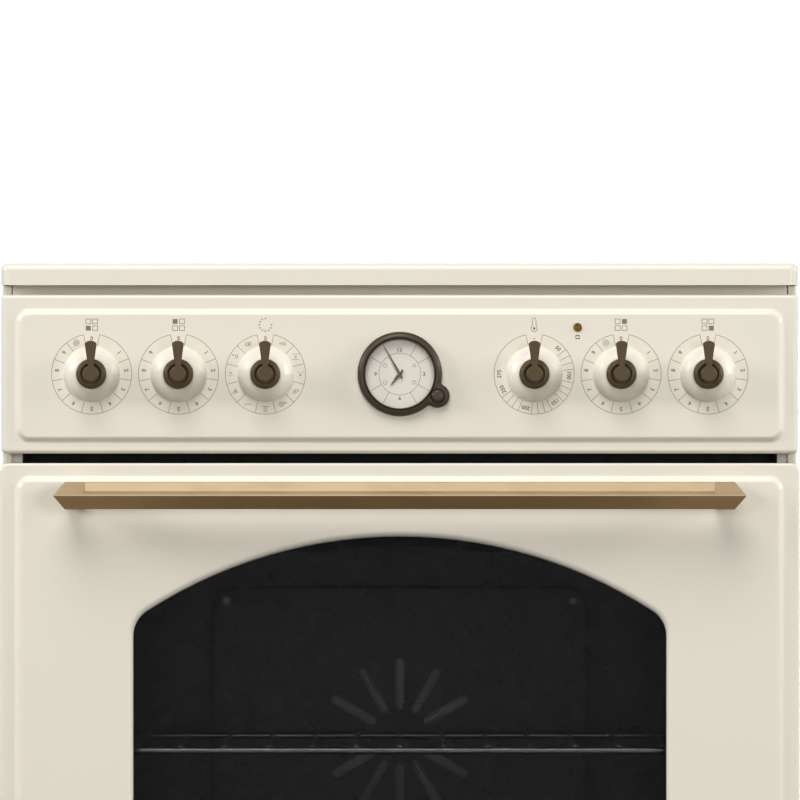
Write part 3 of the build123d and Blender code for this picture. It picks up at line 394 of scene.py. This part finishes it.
def fibrous(name, tint):
    """Wool or ceramic fibre, in flat strands."""
    made = Finish(name)
    strands = made.noise(240, detail=6, stretch=(1, 1, 0.25))
    made.paint(made.mix(strands, shade(tint, 0.72), shade(tint, 1.15)))
    made.rough(strands, 0.82, 0.98)
    made.bump(strands, strength=0.6, depth=1 * mm)
    return made


def printed(name, tint, low=0.5, high=0.66):
    """Screen ink: matt, and a little thinner in places."""
    made = Finish(name)
    made.paint(made.mix(made.noise(900, detail=2), shade(tint, 0.92), shade(tint, 1.12)))
    made.rough(made.noise(300), low, high)
    return made


def amber(name):
    """The lamp's lens: a faceted, unlit amber moulding, with painted light on its facets and
    painted shade that darkens it towards its edge.
    """
    made = Finish(name, Specular_IOR_Level=0.2, Transmission_Weight=0.2)
    facets = made.cells(420)
    # Painted shade: the lens is painted darker where it turns away, towards its edge
    rim = made.node("LayerWeight", Blend=0.4).outputs["Facing"]
    # Painted light: the facets are painted lighter and darker, as glints
    painted_facet_light = made.spread(facets, 0, 1, start=0.1, end=0.6)
    body = made.mix(painted_facet_light, colour(96, 58, 0), colour(138, 102, 8))
    made.paint(made.mix(made.spread(rim, 0, 1, start=0.2, end=0.8), body, colour(72, 38, 10)))
    made.rough(facets, 0.08, 0.2)
    return made


# One finish for each material slot, with its roughness from low to high
slot_finishes = [
    enamel("cream_enamel", colour(236, 229, 213), low=0.3, high=0.38),
    enamel("collar_cream", colour(238, 231, 216), low=0.3, high=0.4),
    moulded("black_enamel", colour(9, 9, 8), low=0.5, high=0.62, sheen=0.15),
    speckled("oven_enamel", colour(26, 27, 31), dot=colour(120, 122, 128)),
    galvanised("galvanised"),
    aged_brass("antique_brass"),
    satin_metal("bronze_metal", colour(51, 39, 25), metallic=0.4, low=0.36, high=0.5),
    satin_metal("knob_bronze", colour(70, 55, 31), metallic=0.3, low=0.4, high=0.52, sheen=0.35),
    moulded("switch_plastic", colour(214, 210, 198)),
    black_glass("hob_glass"),
    glass("window_glass", colour(6, 6, 7), alpha=0.24, edge=0.85, sheen=0.16),
    glass("clear_glass", colour(232, 232, 228), alpha=0.03, edge=0.5),
    moulded("dial_paper", colour(250, 242, 229), low=0.5, high=0.62, grain=1500),
    satin_metal("hand_black", colour(66, 52, 38), metallic=0.1, low=0.45, high=0.55),
    amber("amber_lens"),
    moulded("seal_rubber", colour(33, 32, 31), low=0.6, high=0.75),
    fibrous("mineral_wool", colour(196, 178, 132)),
    fibrous("heater_ceramic", colour(214, 209, 198)),
    satin_metal("heater_wire", colour(84, 79, 76), metallic=0.7, low=0.4, high=0.55, grain=300),
    satin_metal("chrome_wire", colour(208, 210, 213), metallic=1, low=0.08, high=0.18, grain=160),
    satin_metal(
        "steel", colour(158, 159, 161), metallic=1, low=0.26, high=0.42,
        grain=300, stretch=(0.15, 1, 1),
    ),
    moulded("foot_plastic", colour(27, 27, 28)),
]
finishes = {finish.name: finish for finish in slot_finishes}
scale_ink = printed("scale_ink", colour(126, 113, 95))
sign_ink = printed("sign_ink", colour(122, 108, 90))
clock_ink = printed("clock_ink", colour(98, 85, 70))
faint_ink = printed("faint_ink", colour(152, 141, 124))
hob_ink = printed("hob_ink", colour(150, 148, 144), low=0.35, high=0.5)
frit_ink = printed("glass_frit", colour(15, 15, 16), low=0.3, high=0.4)
zinc = satin_metal(
    "zinc_plating", colour(186, 188, 188), metallic=0.95, low=0.24, high=0.4, grain=260,
)


def dress(item, finish):
    item.data.materials.clear()
    item.data.materials.append(finish.material)


def round_edges(node, width):
    """Takes the razor edge off a node's sharp corners, as seen in the light."""
    item = nodes[node]
    weld = item.modifiers.new("weld", "WELD")
    weld.merge_threshold = handle_weld
    bevel = item.modifiers.new("bevel", "BEVEL")
    bevel.width = width
    bevel.segments = 2
    bevel.limit_method = "ANGLE"
    bevel.angle_limit = radians(sharp_angle)
    bevel.harden_normals = True


for part in record["subparts"]:
    dress(nodes[part["node"]], finishes[part["material_slot"]])
round_edges("door_handle", handle_round)


# Printed layers

def on_circle(centre, radius, angle):
    """A point on a dial, by its angle clockwise from the top."""
    turn = radians(angle)
    return Vector((centre[0] + radius * sin(turn), centre[1] + radius * cos(turn)))


def arc(centre, radius, start, end, step=3):
    count = max(2, round(abs(end - start) / step))
    return [on_circle(centre, radius, start + (end - start) * i / count) for i in range(count + 1)]


def circle(centre, radius, count):
    return [on_circle(centre, radius, 360 * i / count) for i in range(count)]


def rectangle(centre, width, height):
    x, z = centre
    return [
        Vector((x - width / 2, z - height / 2)),
        Vector((x + width / 2, z - height / 2)),
        Vector((x + width / 2, z + height / 2)),
        Vector((x - width / 2, z + height / 2)),
    ]


letter_meshes = {}


def letters(text, weight):
    """The corners and faces of a text, one unit thick."""
    if (text, weight) not in letter_meshes:
        curve = bpy.data.curves.new("text", "FONT")
        curve.body = text
        curve.extrude = 0.5
        curve.offset = weight
        curve.resolution_u = 4
        item = bpy.data.objects.new("text", curve)
        bpy.context.scene.collection.objects.link(item)
        bpy.context.view_layer.update()
        evaluated = item.evaluated_get(bpy.context.evaluated_depsgraph_get())
        mesh = bpy.data.meshes.new_from_object(evaluated)
        letter_meshes[text, weight] = (
            [corner.co.copy() for corner in mesh.vertices],
            [list(face.vertices) for face in mesh.polygons],
        )
        bpy.data.objects.remove(item)
        bpy.data.meshes.remove(mesh)
    return letter_meshes[text, weight]


def piece(name, mesh, body, finish):
    """Makes a mesh a finished piece that rides on a body."""
    bmesh.ops.recalc_face_normals(mesh, faces=mesh.faces)
    data = bpy.data.meshes.new(name)
    mesh.to_mesh(data)
    mesh.free()
    item = bpy.data.objects.new(name, data)
    bpy.context.scene.collection.objects.link(item)
    dress(item, finish)
    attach(item, body)


class Print:
    """A thin printed layer on one flat face.

    place(u, v, w) gives the point at u across and v up, w in front of the face.
    """

    def __init__(self, place):
        self.mesh = bmesh.new()
        self.place = place

    def corner(self, point, front):
        depth = print_depth / 2 if front else -print_depth / 2
        return self.mesh.verts.new(self.place(point[0], point[1], depth))

    def patch(self, outline):
        front = [self.corner(point, True) for point in outline]
        rear = [self.corner(point, False) for point in outline]
        self.mesh.faces.new(front)
        self.mesh.faces.new(list(reversed(rear)))
        for i in range(len(outline)):
            j = (i + 1) % len(outline)
            self.mesh.faces.new((front[j], front[i], rear[i], rear[j]))

    def stroke(self, points, width, closed=False):
        """A line of even width along some points."""
        points = [Vector(point) for point in points]
        count = len(points)
        rows = []
        for i, point in enumerate(points):
            ways = []
            if closed or i:
                ways.append((point - points[i - 1]).normalized())
            if closed or i < count - 1:
                ways.append((points[(i + 1) % count] - point).normalized())
            along = sum(ways, Vector((0, 0))).normalized()
            across = Vector((-along.y, along.x))
            side = across.dot(Vector((-ways[0].y, ways[0].x)))
            reach = across * (width / 2 / max(mitre_limit, side))
            rows.append([
                self.corner(point + reach, True),
                self.corner(point - reach, True),
                self.corner(point - reach, False),
                self.corner(point + reach, False),
            ])
        for i in range(count if closed else count - 1):
            first, second = rows[i], rows[(i + 1) % count]
            for k in range(4):
                j = (k + 1) % 4
                self.mesh.faces.new((first[k], first[j], second[j], second[k]))
        if not closed:
            self.mesh.faces.new(list(reversed(rows[0])))
            self.mesh.faces.new(rows[-1])

    def label(self, text, centre, height, angle=0.0, width=1.0, weight=numeral_weight):
        """A word or number, centred, with its top turned to an angle on the dial."""
        corners, faces = letters(text, weight)
        low = [min(corner[k] for corner in corners) for k in (0, 1)]
        high = [max(corner[k] for corner in corners) for k in (0, 1)]
        size = height / (high[1] - low[1])
        turn = radians(angle)
        made = []
        for corner in corners:
            u = (corner.x - (low[0] + high[0]) / 2) * size * width
            v = (corner.y - (low[1] + high[1]) / 2) * size
            made.append(self.mesh.verts.new(self.place(
                centre[0] + u * cos(turn) + v * sin(turn),
                centre[1] - u * sin(turn) + v * cos(turn),
                corner.z * print_depth,
            )))
        for face in faces:
            self.mesh.faces.new([made[i] for i in face])

    def done(self, name, body, ink):
        bmesh.ops.remove_doubles(self.mesh, verts=self.mesh.verts, dist=print_weld)
        piece(name, self.mesh, body, ink)


def on_panel(u, v, w):
    return (u, panel_face - w, v)


def on_dial(u, v, w):
    return (u, dial_face - w, v)


def on_hob(u, v, w):
    return (u, v, hob_top + w)


def on_inner_glass(u, v, w):
    return (u, inner_glass_high.y + w, v)


# Scales round the knobs

def knob_centre(knob):
    return Vector((middle(knob).x, control_row))


def dial_ring(layer, centre, gap, lines):
    """The ring of a scale, open at the top, with lines from the collar to it."""
    layer.stroke(arc(centre, scale_radius, gap, 360 - gap), scale_line)
    for angle in [gap, 360 - gap, *lines]:
        inner = on_circle(centre, scale_inner, angle)
        layer.stroke([inner, on_circle(centre, scale_radius, angle)], scale_line)


def numeral(layer, text, centre, angle, radius=numeral_radius):
    layer.label(text, on_circle(centre, radius, angle), numeral_height, angle)


def hob_scale(layer, knob, dual):
    centre = knob_centre(knob)
    lines = [*hob_lines, hob_dual_line] if dual else hob_lines
    dial_ring(layer, centre, hob_gap, lines)
    numeral(layer, "0", centre, 0, off_radius)
    for count, angle in enumerate(hob_numerals, 1):
        numeral(layer, str(count), centre, angle)
    if dual:
        place = on_circle(centre, numeral_radius, hob_dual_place)
        layer.stroke(circle(place, dual_outer_ring, count=32), scale_line, closed=True)
        layer.stroke(circle(place, dual_inner_ring, count=24), scale_line, closed=True)


def heat_scale(layer):
    centre = knob_centre("knob_thermostat")
    dial_ring(layer, centre, oven_gap, heat_lines)
    layer.patch(circle(on_circle(centre, heat_off_radius, 0), heat_off_dot, count=20))
    for text, angle in heat_numerals.items():
        numeral(layer, text, centre, angle)


# Signs of the oven's functions, drawn in steps of a fine grid

class Sign:
    """A small upright pictogram of lines."""

    half_dash = 2.6
    hub_share = 0.27
    blade_root_share = 0.2
    wave_swing = 1.6
    wave_foot = -11
    wave_rise = 3.6

    def __init__(self, layer, centre, grid=function_sign_grid, line=function_sign_line):
        self.layer = layer
        self.centre = centre
        self.grid = grid
        self.line = line

    def at(self, x, y):
        return self.centre + Vector((x, y)) * self.grid

    def bar(self, y, half=22, dashes=0):
        if not dashes:
            self.path((-half, y), (half, y))
        for i in range(dashes):
            x = -half + (2 * half) * (i + 0.5) / dashes
            self.path((x - self.half_dash, y), (x + self.half_dash, y))

    def fan(self, x, y, size=9):
        centre = self.at(x, y)
        reach = size * self.grid
        self.layer.patch(circle(centre, self.hub_share * reach, count=16))
        for angle in (45, 135, 225, 315):
            root = on_circle(centre, self.blade_root_share * reach, angle)
            self.layer.stroke([root, on_circle(centre, reach, angle)], self.line)

    def ring(self, x, y, radius):
        outline = circle(self.at(x, y), radius * self.grid, count=32)
        self.layer.stroke(outline, self.line, closed=True)

    def path(self, *points, closed=False):
        self.layer.stroke([self.at(*point) for point in points], self.line, closed)

    def wave(self, x):
        points = []
        for k in range(7):
            swing = self.wave_swing * sin(k * pi / 3)
            points.append((x + swing, self.wave_foot + self.wave_rise * k))
        self.path(*points)


def fast_heat(sign):
    sign.fan(-15, 2, size=7)
    for x in (-2, 7, 16):
        sign.wave(x)


def fan_between_bars(sign):
    sign.bar(16)
    sign.fan(0, 0)
    sign.bar(-16)


def fan_grill(sign):
    sign.bar(10, dashes=4)
    sign.fan(0, -6)


def pastry(sign):
    sign.path((-18, -8), (-8, 10), (12, 12), (19, 3), (8, -3), (-4, -12), closed=True)
    sign.ring(-3, 0, 4)


def fan_ring(sign):
    sign.ring(-7, 0, 13)
    sign.fan(-7, 0, size=8)
    sign.ring(15, 8, 5)


def roast(sign):
    sign.bar(15)
    sign.ring(0, 0, 8)
    sign.bar(-15, half=16)


def top_heat(sign):
    sign.bar(0)


def slice_sign(sign):
    sign.path((-14, -12), (2, 14), (15, -4), closed=True)
    sign.ring(1, 0, 3)


def fan_low_bar(sign):
    sign.fan(0, 6)
    sign.bar(-10, dashes=4)


def thaw(sign):
    sign.fan(-12, 9, size=6)
    sign.path((0, 4), (9, 12), (17, 2), (9, -12), (1, -6), closed=True)


def lamp_sign(sign):
    sign.ring(-8, -3, 9)
    sign.path((4, -10), (4, 6), (16, 10), (16, -10), closed=True)


function_signs = [
    fast_heat, fan_between_bars, fan_grill, pastry, fan_ring, roast,
    top_heat, slice_sign, fan_low_bar, thaw, lamp_sign,
]


def function_scale(layer):
    centre = knob_centre("knob_function")
    lines = range(function_step * 3 // 2, 360 - function_step, function_step)
    dial_ring(layer, centre, oven_gap, lines)
    numeral(layer, "0", centre, 0, off_radius)
    for count, draw in enumerate(function_signs, 1):
        draw(Sign(layer, on_circle(centre, numeral_radius, count * function_step)))


# Signs above the knobs and under the indicator lamp

def zone_sign(layer, knob, filled):
    """Four squares for the four zones, with this knob's one filled."""
    place = knob_centre(knob) + Vector((0, sign_rise))
    for column in (-1, 1):
        for row in (-1, 1):
            centre = place + Vector((column, row)) * zone_square_offset
            square = rectangle(centre, zone_square_width, zone_square_height)
            if (column, row) == filled:
                layer.patch(square)
            else:
                layer.stroke(square, sign_line, closed=True)


def selector_sign(layer):
    """Three quarters of a ring of dots."""
    place = knob_centre("knob_function") + Vector((0, sign_rise))
    for angle in range(selector_start, 361, selector_step):
        layer.patch(circle(on_circle(place, selector_ring, angle), selector_dot, count=16))


def heat_sign(layer):
    """A thermometer: a stem with a round bulb and a dot in it."""
    place = knob_centre("knob_thermostat") + Vector((0, sign_rise - thermometer_drop))
    bulb = place - Vector((0, bulb_drop))
    top = place + Vector((0, stem_rise))
    outline = arc(bulb, bulb_radius, 40, 320, step=14) + arc(top, stem_radius, 270, 450, step=18)
    layer.stroke(outline, sign_line, closed=True)
    layer.patch(circle(bulb, bulb_dot, count=20))


def lamp_mark(layer):
    """A small oven outline under the indicator lamp."""
    lamp = middle("indicator_lamp")
    place = Vector((lamp.x, lamp.z - lamp_mark_drop))
    layer.stroke(rectangle(place, lamp_mark_width, lamp_mark_height), lamp_mark_line, closed=True)
    for rise in (-lamp_band_rise, lamp_band_rise):
        layer.patch(rectangle(place + Vector((0, rise)), lamp_band_width, lamp_band_height))


# Clock dial

def clock_scale(layer):
    centre = (0, control_row)
    layer.stroke(circle(centre, clock_ring, count=72), clock_line, closed=True)
    for hour in range(1, 13):
        angle = hour * hour_step
        if hour % 3:
            inner = on_circle(centre, clock_ring, angle)
            layer.stroke([inner, on_circle(centre, clock_edge, angle)], clock_line)
        else:
            layer.label(
                str(hour), on_circle(centre, clock_numerals, angle), clock_numeral_height,
                width=clock_numeral_width, weight=clock_numeral_weight,
            )


def timer_sign(sign):
    sign.ring(0, 0, 15)
    sign.path((0, 9), (0, 0), (7, 4))


def bell_sign(sign):
    sign.path((-12, -9), (-7, -4), (-6, 7), (0, 12), (6, 7), (7, -4), (12, -9), closed=True)


def start_sign(sign):
    sign.ring(0, 0, 15)
    sign.bar(0, half=6)


def pot_sign(sign):
    sign.path((-14, 8), (-11, -11), (11, -11), (14, 8), closed=True)
    sign.bar(13, half=8)


# Column and row of each sign
clock_sign_places = {
    timer_sign: (-1, 1),
    bell_sign: (1, 1),
    start_sign: (-1, -1),
    pot_sign: (1, -1),
}


def clock_signs(layer):
    """Four faint signs on the inner circle of the dial."""
    for draw, (column, row) in clock_sign_places.items():
        centre = Vector((column * clock_sign_across, control_row + row * clock_sign_up))
        draw(Sign(layer, centre, clock_sign_grid, clock_sign_line))


# Hob and door glass

def zone_rings(layer):
    """The printed rings of the four cooking zones, and the row of residual heat lights."""
    column = hob_high.x - zone_border - large_zone
    front = hob_low.y + zone_border
    rear = hob_high.y - zone_border
    zones = [
        (-column, front + large_zone, large_zone, True),
        (-column, rear - small_zone, small_zone, False),
        (column, rear - medium_zone, medium_zone, True),
        (column, front + small_zone, small_zone, False),
    ]
    for x, y, radius, dual in zones:
        layer.stroke(circle((x, y), radius, count=96), zone_line, closed=True)
        layer.stroke(circle((x, y), radius - zone_fine_gap, count=96), zone_fine_line, closed=True)
        if dual:
            layer.stroke(circle((x, y), inner_zone, count=72), inner_zone_line, closed=True)
    for step in (-1.5, -0.5, 0.5, 1.5):
        place = (step * heat_light_pitch, hob_low.y + heat_light_border)
        layer.patch(circle(place, heat_light_radius, count=28))


def glass_border(layer):
    """The black border printed on the inner door glass."""
    centre = middle("door_inner_glass")
    width = inner_glass_high.x - inner_glass_low.x - frit_inset
    height = inner_glass_high.z - inner_glass_low.z - frit_inset
    layer.stroke(rectangle((centre.x, centre.z), width, height), frit_width, closed=True)


scales = Print(on_panel)
signs = Print(on_panel)
for knob, (zone, dual) in hob_knobs.items():
    hob_scale(scales, knob, dual)
    zone_sign(signs, knob, zone)
function_scale(scales)
heat_scale(scales)
scales.done("panel_scales", "cooker", scale_ink)

selector_sign(signs)
heat_sign(signs)
lamp_mark(signs)
signs.done("panel_signs", "cooker", sign_ink)

clock_layer = Print(on_dial)
clock_scale(clock_layer)
clock_layer.done("clock_scale", "cooker", clock_ink)

clock_marks = Print(on_dial)
clock_signs(clock_marks)
clock_marks.done("clock_signs", "cooker", faint_ink)

rings = Print(on_hob)
zone_rings(rings)
rings.done("hob_zone_rings", "cooker", hob_ink)

border = Print(on_inner_glass)
glass_border(border)
border.done("door_glass_frit", "door", frit_ink)


# Screws

def cross_reach(angle):
    """How far a cross recess reaches from its middle at an angle in degrees."""
    turn = radians(abs((angle + 45) % 90 - 45))
    if turn and recess_web / sin(turn) < recess_arm / cos(turn):
        return recess_web / sin(turn)
    return recess_arm / cos(turn)


def screws(name, body, places, outward):
    """Pan-head screws with a cross recess, on a face that looks back (1) or forward (-1)."""
    # Angles about one arm of the recess, and between it and the next
    steps = (-recess_slant, 0, recess_slant, 30, 45, 60)
    turns = [quarter + step for quarter in (0, 90, 180, 270) for step in steps]
    recess = [cross_reach(turn) for turn in turns]
    loops = [
        ([screw_radius] * len(turns), -screw_root),
        ([screw_radius] * len(turns), screw_side),
        ([screw_shoulder_radius] * len(turns), screw_shoulder),
        ([screw_top_radius] * len(turns), screw_height),
        (recess, screw_height),
        (recess, recess_floor),
    ]
    mesh = bmesh.new()
    for x, y, z in places:
        rows = []
        for radii, level in loops:
            row = []
            for turn, radius in zip(turns, radii):
                rim = on_circle((x, z), radius, turn)
                row.append(mesh.verts.new((rim.x, y + outward * level, rim.y)))
            rows.append(row)
        mesh.faces.new(rows[0])
        mesh.faces.new(rows[-1])
        for first, second in zip(rows, rows[1:]):
            for i in range(len(turns)):
                j = (i + 1) % len(turns)
                mesh.faces.new((first[i], first[j], second[j], second[i]))
    piece(name, mesh, body, zinc)


def grid(places, y):
    columns, rows = places
    return [(x * mm, y, z * mm) for x in columns for z in rows]


cover_row = cover_high.z - cover_screw_border
cover_columns = (cover_low.x + cover_screw_border, cover_high.x - cover_screw_border)
cover_places = [(x, cover_high.y, cover_row) for x in cover_columns]
fan_columns = (fan_low.x + fan_screw_border, fan_high.x - fan_screw_border)
fan_rows = (fan_low.z + fan_screw_border, fan_high.z - fan_screw_border)
fan_places = [(x, fan_low.y, z) for x in fan_columns for z in fan_rows]
screws("back_panel_screws", "cooker", grid(back_side_places, back_face), 1)
screws("back_edge_screws", "cooker", grid(back_edge_places, back_face), 1)
screws("terminal_screws", "cooker", cover_places, 1)
screws("front_frame_screws", "cooker", grid(front_frame_places, frame_face), -1)
screws("fan_cover_screws", "cooker", fan_places, -1)
screws("door_liner_screws", "door", grid(door_liner_places, liner_face), 1)
screws("drawer_screws", "drawer", grid(drawer_places, drawer_face), 1)


# Stage, light and camera

def seen_ray(tree):
    """1 where the camera, a reflection or glass looks, and 0 for light on its way."""
    path = tree.nodes.new("ShaderNodeLightPath")
    seen = path.outputs["Is Camera Ray"]
    for ray in ("Is Glossy Ray", "Is Transmission Ray"):
        either = tree.nodes.new("ShaderNodeMath")
        either.operation = "MAXIMUM"
        tree.links.new(seen, either.inputs[0])
        tree.links.new(path.outputs[ray], either.inputs[1])
        seen = either.outputs[0]
    return seen


def floor():
    """A pale floor that keeps the shadow and fades to white far from the cooker."""
    mesh = bmesh.new()
    bmesh.ops.create_circle(mesh, cap_ends=True, radius=floor_radius, segments=96)
    data = bpy.data.meshes.new("floor")
    mesh.to_mesh(data)
    mesh.free()
    item = bpy.data.objects.new("floor", data)
    item.location.z = -floor_drop
    bpy.context.scene.collection.objects.link(item)
    made = Finish("pale_floor", Roughness=0.9)
    seen = seen_ray(made.tree)
    pale = made.mix(made.noise(3), colour(228, 227, 224), colour(232, 231, 228))
    made.paint(made.mix(seen, (floor_bounce, floor_bounce, floor_bounce, 1), pale))
    far = made.node("VectorMath", {"operation": "LENGTH"})
    made.feed(far.inputs[0], made.place)
    fade = made.spread(far.outputs["Value"], 0, 1, start=fade_start, end=fade_end)
    white = made.node("Emission", Strength=made.spread(seen, ambient, 1, start=0, end=1))
    blend = made.node("MixShader", Fac=fade)
    made.feed(blend.inputs[1], made.shader.outputs[0])
    made.feed(blend.inputs[2], white.outputs[0])
    made.feed(made.tree.nodes["Material Output"].inputs["Surface"], blend.outputs[0])
    dress(item, made)


def world():
    """White where it is seen, and a soft fill for the rest."""
    made = bpy.data.worlds.new("studio")
    made.use_nodes = True
    tree = made.node_tree
    level = tree.nodes.new("ShaderNodeMapRange")
    level.inputs["To Min"].default_value = ambient
    tree.links.new(seen_ray(tree), level.inputs["Value"])
    back = tree.nodes["Background"]
    back.inputs["Color"].default_value = (1, 1, 1, 1)
    tree.links.new(level.outputs[0], back.inputs["Strength"])
    bpy.context.scene.world = made


def soft_light(name, place, aim, size, power):
    data = bpy.data.lights.new(name, "AREA")
    data.shape = "DISK"
    data.size = size
    data.energy = power
    item = bpy.data.objects.new(name, data)
    item.location = place
    item.rotation_euler = (Vector(aim) - Vector(place)).to_track_quat("-Z", "Y").to_euler()
    item.visible_camera = False
    bpy.context.scene.collection.objects.link(item)


def camera():
    """Straight at the front, through a long lens, with the panel's row near the middle."""
    data = bpy.data.cameras.new("camera")
    data.sensor_width = camera_sensor
    data.lens = camera_lens
    data.clip_end = camera_range
    item = bpy.data.objects.new("camera", data)
    item.location = (camera_side, worktop_front - camera_distance, camera_height)
    item.rotation_euler = (radians(90), 0, 0)
    bpy.context.scene.collection.objects.link(item)
    bpy.context.scene.camera = item


floor()
world()
for name, lamp in lamps.items():
    soft_light(name, **lamp)
camera()
bpy.context.scene.view_settings.view_transform = "Standard"
